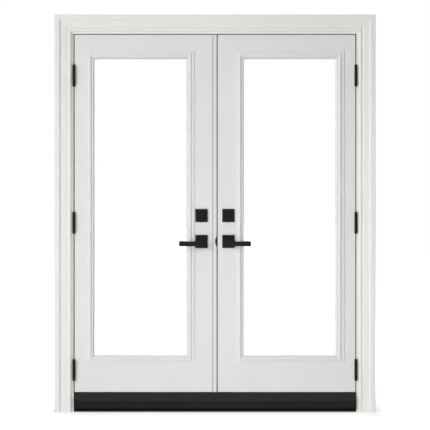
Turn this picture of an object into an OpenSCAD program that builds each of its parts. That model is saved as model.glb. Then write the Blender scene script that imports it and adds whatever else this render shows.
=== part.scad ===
// Pair of glazed steel entry doors hung in their frame, opening outward.
// X runs to the right seen from outside, Y runs inward, Z runs up from the floor; sizes are in millimetres.
// Y = 0 is the outer edge of the jambs, and the leaves close flush with it.

/* [Leaves] */
// width of one leaf
leaf_w = 755.65; // [700:0.05:860]
// height of a leaf
leaf_h = 1955.8; // [1900:0.1:2100]
// thickness of a leaf
leaf_t = 44.45; // [43:0.05:47]
// sheet steel of a skin
skin_t = 0.8; // [0.6:0.1:1.2]
// depth that a skin folds round the long edges of a leaf
skin_fold = 17; // [10:0.5:20]
// outer radius of the folds
fold_r = 1.6; // [1.4:0.1:2.5]
// gap between a leaf and the jambs and head
edge_gap = 4.2; // [2.8:0.1:5]
// gap between the astragal and the active leaf
meeting_gap = 4.4; // [2.8:0.1:5]
// width of the lock stile under the skins
lock_stile_w = 100; // [92:1:115]
// width of the hinge stile under the skins
hinge_stile_w = 42; // [30:1:70]
// height of the top rail under the skins
top_rail_h = 45; // [30:1:80]
// height of the bottom rail under the skins
bottom_rail_h = 60; // [40:1:130]

/* [Glazing] */
// leaf edge to clear glass on the hinge side
hinge_margin = 107; // [98:1:140]
// leaf edge to clear glass on the lock side
lock_margin = 144.65; // [142:0.05:180]
// leaf edge to clear glass at the top
top_margin = 131; // [115:1:220]
// leaf edge to clear glass at the bottom
bottom_margin = 199; // [170:1:400]
// face width of the moulded lite frame
lite_face = 46; // [42:0.5:48]
// height of the lite frame's crest above the skin
lite_rise = 11.5; // [7:0.5:15]
// thickness of the sealed glass unit
unit_t = 25; // [20:0.5:28]
// thickness of one pane
pane_t = 4; // [3:0.5:6]

/* [Frame] */
// thickness of the jambs and head at the rabbet
jamb_t = 19.05; // [16:0.05:30]
// depth of the jambs from outside to inside
jamb_d = 115.9; // [100:0.1:170]
// projection of the stop into the opening
stop_t = 12.7; // [10:0.1:16]
// room between a leaf and its stop, filled by the weatherstrip
seal_t = 7.55; // [6:0.05:10]
// width of the casing
casing_w = 93.5; // [70:0.1:120]
// thickness of the casing at its outer band
casing_t = 24; // [20:0.5:30]
// jamb edge left bare beside the casing
reveal = 11; // [10:0.5:14]

/* [Sill] */
// height of the sill under the leaves
sill_h = 104; // [85:1:130]
// height of the recessed base strip
base_h = 18; // [8:0.5:25]
// height of the nosing above the base strip
nosing_h = 34; // [24:1:45]
// projection of the sill's nose in front of the jambs
nose = 14; // [10:0.5:22]
// metal of the tread
tread_t = 2.5; // [2:0.1:3.5]
// gap between the sill and the leaves
sill_gap = 4; // [3:0.1:8]
// height of the dam above the tread
dam_rise = 18; // [15:0.5:30]

/* [Hinges] */
// height of a hinge plate
hinge_h = 101.6; // [85:0.1:130]
// width of a hinge plate let into an edge
hinge_plate_w = 35; // [25:0.5:38]
// thickness of a hinge plate
hinge_plate_t = 2.5; // [2:0.1:3.2]
// diameter of the barrel
barrel_d = 16; // [13:0.5:17]
// diameter of the pin
pin_d = 7.9; // [6:0.1:8.5]
// centre of the top hinge below the top of the leaf
hinge_from_top = 224; // [120:1:300]
// centre of the bottom hinge above the bottom of the leaf
hinge_from_bottom = 121.5; // [100:0.5:300]

/* [Lock trim] */
// lever axis above the bottom of the leaf
lever_height = 824; // [750:1:950]
// deadbolt axis above the lever axis
bore_spacing = 142; // [100:0.5:200]
// lever axis from the edge of the leaf
backset = 60.3; // [58:0.1:63]
// width of a rose
rose_w = 67.5; // [58:0.5:70]
// height of a rose
rose_h = 71.5; // [58:0.5:76]
// thickness of a rose
rose_t = 9; // [6:0.5:12]
// lever axis to the tip of the lever
lever_reach = 123; // [90:1:130]
// height of the lever's arm
arm_h = 26; // [16:0.5:30]
// thickness of the lever's arm
arm_t = 12; // [8:0.5:16]
// drop of the arm's middle below the lever axis
arm_drop = 12.5; // [0:0.5:14]
// front of the arm from the skin
lever_out = 58; // [48:0.5:75]
// travel of the latch bolt
latch_throw = 12.7; // [8:0.1:13]
// travel of the deadbolt
bolt_throw = 25.4; // [18:0.1:26]

/* [Astragal] */
// width of the astragal's face between the leaves
astragal_w = 22; // [20:0.5:30]
// reach of the astragal's flange behind the active leaf
flange_lap = 15; // [12:0.5:25]
// diameter of a flush bolt
flush_d = 10; // [8:0.5:12]
// travel of a flush bolt
flush_throw = 16; // [10:0.5:17]

/* [Hidden] */
$fn = 48;

// running clearance round a turning or sliding piece, on the radius
run = 0.05;
// overshoot of a cutting shape
over = 1;

// plan of the opening, for the right half; the left half mirrors it
x_lock = (astragal_w + meeting_gap) / 2;
x_hinge = x_lock + leaf_w;
x_jamb = x_hinge + edge_gap;
x_stop = x_jamb - stop_t;
x_pin = x_jamb - edge_gap / 2;
x_casing = x_jamb + reveal;
x_trim = x_lock + backset;
x_astragal = x_lock - meeting_gap;
x_flush = (x_astragal - x_lock) / 2;
y_mid = leaf_t / 2;
y_stop = leaf_t + seal_t;
y_pin = -barrel_d / 2 - over;

// heights
z_low = sill_h + sill_gap;
z_top = z_low + leaf_h;
z_head = z_top + edge_gap;
z_dam = sill_h + dam_rise;
z_casing = z_head + reveal;
z_lever = z_low + lever_height;
z_bolt = z_lever + bore_spacing;
z_hinge_low = z_low + hinge_from_bottom;
z_hinge_high = z_top - hinge_from_top;
hinge_heights = [z_hinge_low, (z_hinge_low + z_hinge_high) / 2, z_hinge_high];

// clear glass, seen between the lips of the lite frame
glass_low = [x_lock + lock_margin, z_low + bottom_margin];
glass_high = [x_hinge - hinge_margin, z_top - top_margin];
// growth from clear glass to the leaf's cut-out, and to the edge of the glass unit
cut_grow = lite_face / 2 - 1;
unit_bite = cut_grow / 2;
y_unit = (leaf_t - unit_t) / 2;
lip_clear = 1;

// lock bores
cross_bore_r = 27;
edge_bore_r = 12.7;
latch_r = 7;
deadbolt_r = 8;
neck_r = 10;
spindle_r = 8.5;
plug_r = 6.3;
tail_r = 4.5;
turn_neck_r = 7.5;
collar_r = [20, 15];
collar_h = 9;
strike_t = 1.6;
strike_h = 57;
strike_lip = 8;
strike_lip_r = (strike_h * strike_h / 4 + strike_lip * strike_lip) / (2 * strike_lip);
strike_w = 28;
case_len = backset - cross_bore_r;

// astragal flange behind the leaves
flange_t = 4;
flange_gap = 3;
flange_ends = [z_dam + 3, z_head - stop_t - 3];

// flush bolts in the astragal
flush_len = 260;
flush_slot_at = 200;
button = [4, 6, 14];
keeper = [26, 22, 1.5];

// colours of the materials
white_paint = [0.93, 0.92, 0.90];
black_metal = [0.06, 0.06, 0.06];
dark_rubber = [0.12, 0.12, 0.12];
pine = [0.80, 0.68, 0.48];
foam = [0.86, 0.82, 0.66];
clear_glass = [0.85, 0.92, 0.92, 0.35];
bare_metal = [0.62, 0.62, 0.62];
composite = [0.20, 0.19, 0.18];

// polygon of (Y, Z) drawn out along X
module along_x(x0, x1) {
    translate([x0, 0, 0]) rotate([90, 0, 90]) linear_extrude(x1 - x0) children();
}

// polygon of (X, Z) drawn out along Y
module along_y(y0, y1) {
    translate([0, y1, 0]) rotate([90, 0, 0]) linear_extrude(y1 - y0) children();
}

// box between two corners
module block(low, high) {
    translate(low) cube(high - low);
}

// round bar along X, along Y, or along Z
module bar_x(x0, x1, y, z, r) {
    translate([x0, y, z]) rotate([0, 90, 0]) cylinder(h = x1 - x0, r = r);
}
module bar_y(x, y0, y1, z, r) {
    translate([x, y0, z]) rotate([-90, 0, 0]) cylinder(h = y1 - y0, r = r);
}
module bar_z(x, y, z0, z1, r) {
    translate([x, y, z0]) cylinder(h = z1 - z0, r = r);
}

module flip_x() {
    mirror([1, 0, 0]) children();
}

// turns a piece of the outer face into its twin on the inner face
module flip_face() {
    translate([0, leaf_t, 0]) mirror([0, 1, 0]) children();
}

// Frame

// plate of one hinge with rounded far corners, from its root at Y = 0
module hinge_plate(x0, x1) {
    r = hinge_plate_w / 4;
    h = hinge_h / 2;
    block([x0, 0, -h], [x1, hinge_plate_w - r, h]);
    block([x0, 0, -h + r], [x1, hinge_plate_w, h - r]);
    for (s = [-1, 1]) bar_x(x0, x1, hinge_plate_w - r, s * (h - r), r);
}

// right jamb with its stop, hinge mortises and fixing holes
fixing_r = 2.75;
fixing_y = (y_stop + jamb_d) / 2;
module jamb() {
    difference() {
        union() {
            block([x_jamb, 0, 0], [x_jamb + jamb_t, jamb_d, z_head + jamb_t]);
            block([x_stop, y_stop, z_dam], [x_jamb, jamb_d, z_head]);
        }
        for (z = hinge_heights) translate([0, 0, z]) hinge_plate(x_jamb, x_jamb + hinge_plate_t);
        for (z = [z_hinge_low, z_hinge_high]) {
            bar_x(x_stop - over, x_jamb + jamb_t + over, fixing_y, z, fixing_r);
        }
    }
}

module jamb_right() {
    color(white_paint) jamb();
}

module jamb_left() {
    color(white_paint) flip_x() jamb();
}

module head_jamb() {
    color(white_paint) difference() {
        union() {
            block([-x_jamb, 0, z_head], [x_jamb, jamb_d, z_head + jamb_t]);
            block([-x_stop, y_stop, z_head - stop_t], [x_stop, jamb_d, z_head]);
        }
        keeper_plate(z_head);
        bar_z(x_flush, y_mid, z_head - over, z_head + flush_throw - over, flush_d / 2 + over);
    }
}

// casing profile, from the inner edge outward, as shares of its width and thickness
casing_shape = [
    [0, 0], [0, 0.18], [0.008, 0.28], [0.025, 0.38], [0.05, 0.47], [0.08, 0.535], [0.115, 0.565], [0.15, 0.56],
    [0.185, 0.53], [0.215, 0.48], [0.232, 0.445], [0.25, 0.44], [0.28, 0.465], [0.33, 0.495], [0.40, 0.525],
    [0.48, 0.55], [0.56, 0.57], [0.62, 0.585], [0.655, 0.60], [0.668, 0.65], [0.676, 0.75], [0.684, 0.87],
    [0.70, 0.955], [0.725, 1], [0.945, 1], [0.975, 0.985], [0.993, 0.94], [1, 0.88], [1, 0]
];

// right casing leg, cut to a mitre at the top
module casing_leg() {
    x_out = x_casing + casing_w;
    intersection() {
        linear_extrude(z_casing + casing_w) {
            polygon([for (p = casing_shape) [x_casing + p[0] * casing_w, -p[1] * casing_t]]);
        }
        along_y(-casing_t - over, over) {
            polygon([[x_casing, 0], [x_out, 0], [x_out, z_casing + casing_w], [x_casing, z_casing]]);
        }
    }
}

module casing_right() {
    color(white_paint) casing_leg();
}

module casing_left() {
    color(white_paint) flip_x() casing_leg();
}

module casing_head() {
    x_out = x_casing + casing_w;
    z_out = z_casing + casing_w;
    color(white_paint) intersection() {
        along_x(-x_out, x_out) {
            polygon([for (p = casing_shape) [-p[1] * casing_t, z_casing + p[0] * casing_w]]);
        }
        along_y(-casing_t - over, over) {
            polygon([[-x_casing, z_casing], [x_casing, z_casing], [x_out, z_out], [-x_out, z_out]]);
        }
    }
}

// sill: height of the lip between the nosing and the leaning riser, and how far each stands back
z_lip = base_h + nosing_h;
lip_h = 2;
lip_back = 1.6;
riser_back = 11;
base_back = 12;
y_nosing = -nose + lip_back;
y_riser_top = -nose + riser_back;
inside_nosing = y_nosing + tread_t;
inside_riser = y_riser_top + tread_t;

module sub_sill() {
    color(black_metal) block([-x_jamb, y_nosing + base_back, 0], [x_jamb, jamb_d, base_h]);
}

// extruded tread: nosing, overhanging lip, leaning riser and the flat under the leaves
module sill_tread() {
    color(black_metal) difference() {
        along_x(-x_jamb, x_jamb) polygon([
            [y_nosing, base_h], [y_nosing, z_lip - lip_h], [-nose, z_lip - lip_h / 2], [-nose, z_lip + lip_h / 2],
            [y_riser_top, sill_h], [y_stop, sill_h], [y_stop, sill_h - tread_t], [inside_riser, sill_h - tread_t],
            [inside_nosing, z_lip], [inside_nosing, base_h]
        ]);
        keeper_plate(sill_h - keeper[2]);
        bar_z(x_flush, y_mid, sill_h - flush_throw, sill_h + over, flush_d / 2 + over);
    }
}

module sill_core() {
    color(composite) difference() {
        along_x(-x_jamb, x_jamb) polygon([
            [inside_nosing, base_h], [inside_nosing, z_lip], [inside_riser, sill_h - tread_t],
            [y_stop, sill_h - tread_t], [y_stop, sill_h], [jamb_d, sill_h], [jamb_d, base_h]
        ]);
        bar_z(x_flush, y_mid, sill_h - flush_throw, sill_h + over, flush_d / 2 + over);
    }
}

// upstand that the leaves close against
dam_ease = 2;
module sill_dam() {
    color(black_metal) along_x(-x_jamb, x_jamb) polygon([
        [y_stop, sill_h], [y_stop, z_dam - dam_ease], [y_stop + dam_ease, z_dam], [jamb_d - dam_ease, z_dam],
        [jamb_d, z_dam - dam_ease], [jamb_d, sill_h]
    ]);
}

// bulb seal section from a stop at u = 0 to a leaf at u = seal_t, across a width
function bulb(across) = [
    [0, 0], [0, across], [seal_t * 0.4, across], [seal_t * 0.8, across * 0.85], [seal_t, across * 0.65],
    [seal_t, across * 0.35], [seal_t * 0.8, across * 0.15], [seal_t * 0.4, 0]
];
bulb_w = 11.5;
bulb_in = 0.8;

module sill_seal() {
    z0 = z_low + bulb_in;
    color(dark_rubber) along_x(-x_stop, x_stop) {
        polygon([for (p = bulb(bulb_w)) [y_stop - p[0], z0 + p[1]]]);
    }
}

// weatherstrips on the two jamb stops and on the head stop
module weatherstrips() {
    x0 = x_stop + bulb_in;
    z1 = z_head - stop_t + bulb_in;
    color(dark_rubber) {
        for (s = [-1, 1]) scale([s, 1, 1]) translate([0, 0, sill_h]) linear_extrude(z_head - sill_h) {
            polygon([for (p = bulb(bulb_w)) [x0 + p[1], y_stop - p[0]]]);
        }
        along_x(-x0 - bulb_w, x0 + bulb_w) polygon([for (p = bulb(bulb_w)) [y_stop - p[0], z1 + p[1]]]);
    }
}

// hinge: the barrel is cut in five, and the plates hold it in turn
knuckles = 5;
knuckle_h = hinge_h / knuckles;
knuckle_gap = 0.3;

// knuckles numbered in the list, with their tabs to a plate between x0 and x1
module hinge_half(x0, x1, numbers) {
    for (z = hinge_heights) translate([0, 0, z]) {
        hinge_plate(x0, x1);
        difference() {
            for (n = numbers) {
                low = -hinge_h / 2 + n * knuckle_h + (n > 0 ? knuckle_gap : 0);
                high = -hinge_h / 2 + (n + 1) * knuckle_h;
                bar_z(x_pin, y_pin, low, high, barrel_d / 2);
                block([x0, y_pin, low], [x1, 0, high]);
            }
            bar_z(x_pin, y_pin, -hinge_h, hinge_h, pin_d / 2 + run);
        }
    }
}

module hinge_jamb_plates() {
    color(black_metal) for (s = [0, 1]) mirror([s, 0, 0]) {
        hinge_half(x_jamb, x_jamb + hinge_plate_t, [0, 2, 4]);
    }
}

// pin with a round tip at each end of the barrel
pin_tip_r = barrel_d * 0.48;
pin_tip_h = 10;
module hinge_pins() {
    color(black_metal) for (s = [0, 1]) mirror([s, 0, 0]) for (z = hinge_heights) {
        tip = [[1, 0], [1, 0.45], [0.92, 0.7], [0.7, 0.9], [0.35, 0.985], [0, 1]];
        end = hinge_h / 2;
        translate([x_pin, y_pin, z]) rotate_extrude() polygon(concat(
            [for (n = [len(tip) - 1:-1:0]) [tip[n][0] * pin_tip_r, -end - tip[n][1] * pin_tip_h]],
            [[pin_d / 2, -end], [pin_d / 2, end]],
            [for (p = tip) [p[0] * pin_tip_r, end + p[1] * pin_tip_h]]
        ));
    }
}

// keeper plate let into the head or the tread, from height z upward
module keeper_plate(z) {
    translate([x_flush - keeper[0] / 2, y_mid - keeper[1] / 2, z]) cube(keeper);
}

module bolt_keepers() {
    color(bare_metal) difference() {
        union() {
            keeper_plate(z_head);
            keeper_plate(sill_h - keeper[2]);
        }
        bar_z(x_flush, y_mid, 0, z_head + flush_throw, flush_d / 2 + over);
    }
}

// Leaves, drawn for the right one

// rectangle of clear glass grown on all sides, as (X, Z)
function grown(g) = [
    [glass_low[0] - g, glass_low[1] - g], [glass_high[0] + g, glass_low[1] - g],
    [glass_high[0] + g, glass_high[1] + g], [glass_low[0] - g, glass_high[1] + g]
];

// cut-out for the glass and mortises for the hinge plates, in every leaf
module leaf_cuts() {
    along_y(-over, leaf_t + over) polygon(grown(cut_grow));
    for (z = hinge_heights) translate([0, 0, z]) hinge_plate(x_hinge - hinge_plate_t, x_hinge + over);
}

// cross bores and edge bores for the locks, in the active leaf
module lock_cuts() {
    for (z = [z_lever, z_bolt]) {
        bar_y(x_trim, -over, leaf_t + over, z, cross_bore_r);
        bar_x(x_lock - over, x_trim, y_mid, z, edge_bore_r);
    }
}

// hole for the thrown deadbolt, in the astragal and the passive leaf
pocket_r = deadbolt_r + over;
module deadbolt_pocket() {
    bar_x(x_lock - bolt_throw - 4 * over, x_lock, y_mid, z_bolt, pocket_r);
}

module active_cut() {
    difference() {
        children();
        leaf_cuts();
        lock_cuts();
    }
}

module passive_cut() {
    difference() {
        flip_x() difference() {
            children();
            leaf_cuts();
        }
        deadbolt_pocket();
    }
}

// points of an arc, as (X, Y) or (X, Z)
arc_steps = 6;
function arc(centre, r, from, to) = [
    for (n = [0:arc_steps]) centre + r * [cos(from + (to - from) * n / arc_steps), sin(from + (to - from) * n / arc_steps)]
];

// face sheet bent round a fold along each long edge
module skin() {
    near = [x_lock + fold_r, fold_r];
    far = [x_hinge - fold_r, fold_r];
    translate([0, 0, z_low]) linear_extrude(leaf_h) polygon(concat(
        [[x_lock, skin_fold]], arc(near, fold_r, 180, 270), arc(far, fold_r, 270, 360), [[x_hinge, skin_fold]],
        [[x_hinge - skin_t, skin_fold]], arc(far, fold_r - skin_t, 360, 270),
        arc(near, fold_r - skin_t, 270, 180), [[x_lock + skin_t, skin_fold]]
    ));
}

// timber under the skins, with its outer corners planed off for the folds
module stile(edge, inner) {
    way = sign(inner - edge);
    translate([0, 0, z_low]) linear_extrude(leaf_h) polygon([
        [edge + way * skin_t, fold_r], [edge + way * fold_r, skin_t], [inner, skin_t], [inner, leaf_t - skin_t],
        [edge + way * fold_r, leaf_t - skin_t], [edge + way * skin_t, leaf_t - fold_r]
    ]);
}

module stiles() {
    stile(x_lock, x_lock + lock_stile_w);
    stile(x_hinge, x_hinge - hinge_stile_w);
}

module rails() {
    x0 = x_lock + lock_stile_w;
    x1 = x_hinge - hinge_stile_w;
    block([x0, skin_t, z_low], [x1, leaf_t - skin_t, z_low + bottom_rail_h]);
    block([x0, skin_t, z_top - top_rail_h], [x1, leaf_t - skin_t, z_top]);
}

module core() {
    block(
        [x_lock + lock_stile_w, skin_t, z_low + bottom_rail_h],
        [x_hinge - hinge_stile_w, leaf_t - skin_t, z_top - top_rail_h]
    );
}

// lite frame section, from its outer edge toward the glass: share of its width, then of its height
lite_shape = [
    [0, 0], [0, 0.34], [0.03, 0.41], [0.17, 0.44], [0.28, 0.46], [0.34, 0.62], [0.42, 0.90], [0.48, 1],
    [0.56, 0.99], [0.61, 0.88], [0.66, 0.66], [0.70, 0.50], [0.73, 0.46], [0.86, 0.43], [0.885, 0.38],
    [0.91, 0.18], [0.95, -0.15], [1, -0.5]
];
lite_leg = 9;

// point of the section as (distance from the outer edge, Y)
function lite_points() = concat(
    [for (p = lite_shape) [p[0] * lite_face, -p[1] * lite_rise]],
    [
        [lite_face, y_unit], [lite_face - unit_bite - lip_clear, y_unit],
        [lite_face - unit_bite - lip_clear, y_mid], [lite_face - unit_bite - lip_clear - lite_leg, y_mid],
        [lite_face - unit_bite - lip_clear - lite_leg, 0]
    ]
);

// four mitred bars; a side is a corner pair of the outer and inner rectangles
module lite_side(first) {
    outer = grown(lite_face);
    inner = grown(0);
    second = (first + 1) % 4;
    along_y(-lite_rise - over, leaf_t) polygon([outer[first], outer[second], inner[second], inner[first]]);
}

module lite() {
    x0 = glass_low[0] - lite_face;
    x1 = glass_high[0] + lite_face;
    z0 = glass_low[1] - lite_face;
    z1 = glass_high[1] + lite_face;
    intersection() {
        along_x(x0, x1) polygon([for (p = lite_points()) [p[1], z0 + p[0]]]);
        lite_side(0);
    }
    intersection() {
        translate([0, 0, z0]) linear_extrude(z1 - z0) polygon([for (p = lite_points()) [x1 - p[0], p[1]]]);
        lite_side(1);
    }
    intersection() {
        along_x(x0, x1) polygon([for (p = lite_points()) [p[1], z1 - p[0]]]);
        lite_side(2);
    }
    intersection() {
        translate([0, 0, z0]) linear_extrude(z1 - z0) polygon([for (p = lite_points()) [x0 + p[0], p[1]]]);
        lite_side(3);
    }
}

module panes() {
    along_y(y_unit, y_unit + pane_t) polygon(grown(unit_bite));
    along_y(leaf_t - y_unit - pane_t, leaf_t - y_unit) polygon(grown(unit_bite));
}

module spacer() {
    difference() {
        along_y(y_unit + pane_t, leaf_t - y_unit - pane_t) polygon(grown(unit_bite));
        along_y(0, leaf_t) polygon(grown(lip_clear));
    }
}

module hinge_plates() {
    hinge_half(x_hinge - hinge_plate_t, x_hinge, [1, 3]);
}

// seal strip under a leaf: a thin back with a row of tapered fins, just clear of the tread
sweep_clear = 0.5;
sweep_in = 8;
sweep_back = 1;
fins = 5;
fin_tip = 1.2;
module sweep() {
    pitch = (leaf_t - 2 * sweep_in) / fins;
    z_tip = sill_h + sweep_clear;
    along_x(x_lock, x_hinge) polygon(concat(
        [[leaf_t - sweep_in, z_low], [sweep_in, z_low]],
        [for (n = [0:fins - 1]) for (p = [
            [0, z_low - sweep_back], [(pitch - fin_tip) / 2, z_tip], [(pitch + fin_tip) / 2, z_tip],
            [pitch, z_low - sweep_back]
        ]) if (p[0] < pitch || n == fins - 1) [sweep_in + n * pitch + p[0], p[1]]]
    ));
}

// trim, drawn for the outer face of the right leaf

// face of a rose as (distance from its middle, Y), with a bevelled rim
rose_ease = 1.6;
function bevelled(half) = [
    [-half, 0], [-half, -rose_t + rose_ease], [-half + rose_ease, -rose_t], [half - rose_ease, -rose_t],
    [half, -rose_t + rose_ease], [half, 0]
];

// rose on the skin at a height, with a hole for what passes through it
module rose(z, hole_r) {
    difference() {
        intersection() {
            translate([x_trim, 0, z - rose_h / 2]) linear_extrude(rose_h) polygon(bevelled(rose_w / 2));
            along_x(x_trim - rose_w / 2, x_trim + rose_w / 2) {
                polygon([for (p = bevelled(rose_h / 2)) [p[1], z + p[0]]]);
            }
        }
        bar_y(x_trim, -rose_t - over, over, z, hole_r);
    }
}

// profile of (radius, distance from the skin) turned round the axis of a bore at a height
module turned(z) {
    translate([x_trim, 0, z]) rotate([90, 0, 0]) rotate_extrude() children();
}

// deadbolt rose with a tapered collar round the key plug, and a grub screw boss under it
collar_lip = 1.5;
boss_r = 2.6;
boss_h = 2.8;
module keyed_rose(hole_r) {
    top = rose_t + collar_h;
    rose(z_bolt, hole_r);
    turned(z_bolt) polygon([
        [hole_r, rose_t - over], [collar_r[0], rose_t - over], [collar_r[0], rose_t + collar_lip],
        [collar_r[0] - collar_lip, rose_t + 2 * collar_lip], [collar_r[1], top - collar_lip / 2],
        [collar_r[1] - collar_lip / 2, top], [hole_r, top]
    ]);
    bar_z(x_trim, -rose_t / 2, z_bolt - rose_h / 2 - boss_h, z_bolt - rose_h / 2 + over, boss_r);
}

// lever: a turned neck with a flared foot, and an arm that is its front outline cut to its plan outline
hub_half = 13;
hub_up = 11;
tip_r = 5;
foot_r = 15;
foot_h = 3.2;
arm_taper = 0.3;
front_ease = 1.5;
module lever() {
    z0 = z_lever - arm_drop - arm_h / 2;
    z1 = z_lever - arm_drop + arm_h / 2;
    z_hub = max(z_lever + hub_up, z1 + over);
    rise = z_hub - z1;
    hub_r = min(tip_r, rise * 0.6);
    fillet = rise - hub_r;
    x_tip = x_trim + lever_reach;
    x_back = x_trim - hub_half;
    back = -lever_out + arm_t;
    foot = rose_t + 0.4 * over;
    turned(z_lever) polygon([
        [0, 0], [neck_r, 0], [neck_r, foot], [foot_r, foot], [foot_r, foot + foot_h / 3], [neck_r, foot + foot_h],
        [neck_r, lever_out - arm_t / 2], [0, lever_out - arm_t / 2]
    ]);
    intersection() {
        along_y(-lever_out, back) polygon(concat(
            arc([x_back + tip_r, z0 + tip_r], tip_r, 180, 270), arc([x_tip - tip_r, z0 + tip_r], tip_r, 270, 360),
            arc([x_tip - tip_r, z1 - tip_r], tip_r, 0, 90),
            arc([x_trim + hub_half + fillet, z1 + fillet], fillet, 270, 180),
            arc([x_trim + hub_half - hub_r, z_hub - hub_r], hub_r, 0, 90),
            arc([x_back + hub_r, z_hub - hub_r], hub_r, 90, 180)
        ));
        translate([0, 0, z0 - over]) linear_extrude(z_hub - z0 + 2 * over) polygon([
            [x_back, -lever_out + front_ease], [x_back + front_ease, -lever_out], [x_tip - front_ease, -lever_out],
            [x_tip, -lever_out + front_ease], [x_tip, back - arm_t * arm_taper],
            [x_tip - hub_half, back - arm_t * arm_taper], [x_trim + lever_reach / 2, back], [x_back, back]
        ]);
    }
}

// thumb turn: a turned boss and a round-ended paddle
turn_out = 26;
turn_half = 19;
turn_t = 5;
turn_foot_r = 12;
module turn() {
    foot = rose_t + 0.4 * over;
    turned(z_bolt) polygon([
        [0, 0], [turn_neck_r, 0], [turn_neck_r, foot], [turn_foot_r, foot], [turn_foot_r, foot + over],
        [turn_foot_r - 2 * over, foot + 4 * over], [0, foot + 4 * over]
    ]);
    block(
        [x_trim - turn_t, -turn_out, z_bolt - turn_half + turn_t],
        [x_trim + turn_t, -rose_t - over, z_bolt + turn_half - turn_t]
    );
    for (s = [-1, 1]) bar_y(x_trim, -turn_out, -rose_t - over, z_bolt + s * (turn_half - turn_t), turn_t);
}

// Passive leaf

module left_skin_out() {
    color(white_paint) passive_cut() skin();
}

module left_skin_in() {
    color(white_paint) passive_cut() flip_face() skin();
}

module left_stiles() {
    color(pine) passive_cut() stiles();
}

module left_rails() {
    color(pine) passive_cut() rails();
}

module left_core() {
    color(foam) passive_cut() core();
}

module left_lite_out() {
    color(white_paint) flip_x() lite();
}

module left_lite_in() {
    color(white_paint) flip_x() flip_face() lite();
}

module left_panes() {
    color(clear_glass) flip_x() panes();
}

module left_spacer() {
    color(bare_metal) flip_x() spacer();
}

module left_hinge_plates() {
    color(black_metal) flip_x() hinge_plates();
}

module left_sweep() {
    color(dark_rubber) flip_x() sweep();
}

// strip on the meeting edge, with a shadow groove beside the leaf, bores for the flush bolts,
// slots for their buttons and lock pockets
seam_w = 2.4;
seam_d = 7;
module astragal() {
    color(white_paint) difference() {
        union() {
            block([-x_lock, 0, z_low], [x_astragal, leaf_t, z_top]);
            block([-x_lock, leaf_t, flange_ends[0]], [x_astragal, leaf_t + flange_gap, flange_ends[1]]);
        }
        block([-x_lock - over, -over, z_low - over], [-x_lock + seam_w, seam_d, z_top + over]);
        deadbolt_pocket();
        bar_x(x_lock - latch_throw - 4 * over, x_lock, y_mid, z_lever, latch_r + over);
        strike_seat(z_lever);
        strike_seat(z_bolt);
        for (ends = [[z_top - flush_len, z_top + over], [z_low - over, z_low + flush_len]]) {
            bar_z(x_flush, y_mid, ends[0], ends[1], flush_d / 2 + run);
        }
        button_slot(z_top - flush_slot_at, 0, flush_throw);
        button_slot(z_low + flush_slot_at, -flush_throw, 0);
    }
}

// slot that a button travels in, from its rest height
module button_slot(z, down, up) {
    block(
        [x_flush, y_mid - button[1] / 2 - run, z - button[2] / 2 + down - run],
        [x_astragal + over, y_mid + button[1] / 2 + run, z + button[2] / 2 + up + run]
    );
}

module astragal_flange() {
    color(white_paint) block(
        [-x_lock, leaf_t + flange_gap, flange_ends[0]],
        [x_lock + flange_lap, leaf_t + flange_gap + flange_t, flange_ends[1]]
    );
}

module astragal_seal() {
    color(dark_rubber) block(
        [x_lock + flange_lap / 4, leaf_t, flange_ends[0]],
        [x_lock + flange_lap * 0.8, leaf_t + flange_gap, flange_ends[1]]
    );
}

// recess for a strike plate in the meeting edge
module strike_seat(z) {
    block(
        [x_astragal - strike_t, y_mid - strike_w / 2, z - strike_h / 2],
        [x_astragal + over, y_mid + strike_w / 2, z + strike_h / 2]
    );
    block([x_astragal - strike_t, -over, z_lever - strike_h / 2], [x_astragal + over, y_mid, z_lever + strike_h / 2]);
}

// strike plate with a curved lip that folds over the face of the astragal
module latch_strike() {
    color(black_metal) {
        difference() {
            block(
                [x_astragal - strike_t, -strike_t, z_lever - strike_h / 2],
                [x_astragal, y_mid + strike_w / 2, z_lever + strike_h / 2]
            );
            bar_x(x_astragal - strike_t - over, x_lock, y_mid, z_lever, latch_r + over);
        }
        intersection() {
            bar_y(x_astragal - strike_lip + strike_lip_r, -strike_t, 0, z_lever, strike_lip_r);
            block(
                [x_astragal - strike_lip, -strike_t, z_lever - strike_h / 2],
                [x_astragal - strike_t, 0, z_lever + strike_h / 2]
            );
        }
    }
}

module deadbolt_strike() {
    color(black_metal) difference() {
        block(
            [x_astragal - strike_t, y_mid - strike_w / 2, z_bolt - strike_h / 2],
            [x_astragal, y_mid + strike_w / 2, z_bolt + strike_h / 2]
        );
        deadbolt_pocket();
    }
}

module left_lever_roses() {
    color(black_metal) flip_x() {
        rose(z_lever, neck_r + run);
        flip_face() rose(z_lever, neck_r + run);
    }
}

// fixed plug and fixed turn are one casting with their roses
module left_deadbolt_roses() {
    color(black_metal) flip_x() {
        keyed_rose(plug_r);
        bar_y(x_trim, -rose_t - collar_h, 0, z_bolt, plug_r);
        flip_face() {
            rose(z_bolt, turn_neck_r);
            turn();
        }
    }
}

module left_levers() {
    color(black_metal) flip_x() {
        lever();
        flip_face() lever();
    }
}

// flush bolt rod with its thumb button
module top_bolt() {
    color(bare_metal) {
        bar_z(x_flush, y_mid, z_top - flush_len + flush_throw, z_top - over, flush_d / 2);
        flush_button(z_top - flush_slot_at);
    }
}

module bottom_bolt() {
    color(bare_metal) {
        bar_z(x_flush, y_mid, z_low + over, z_low + flush_len - flush_throw, flush_d / 2);
        flush_button(z_low + flush_slot_at);
    }
}

button_out = 0.8;
module flush_button(z) {
    block(
        [x_flush, y_mid - button[1] / 2, z - button[2] / 2],
        [x_astragal + button_out, y_mid + button[1] / 2, z + button[2] / 2]
    );
}

// Active leaf

module right_skin_out() {
    color(white_paint) active_cut() skin();
}

module right_skin_in() {
    color(white_paint) active_cut() flip_face() skin();
}

module right_stiles() {
    color(pine) active_cut() stiles();
}

module right_rails() {
    color(pine) active_cut() rails();
}

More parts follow.
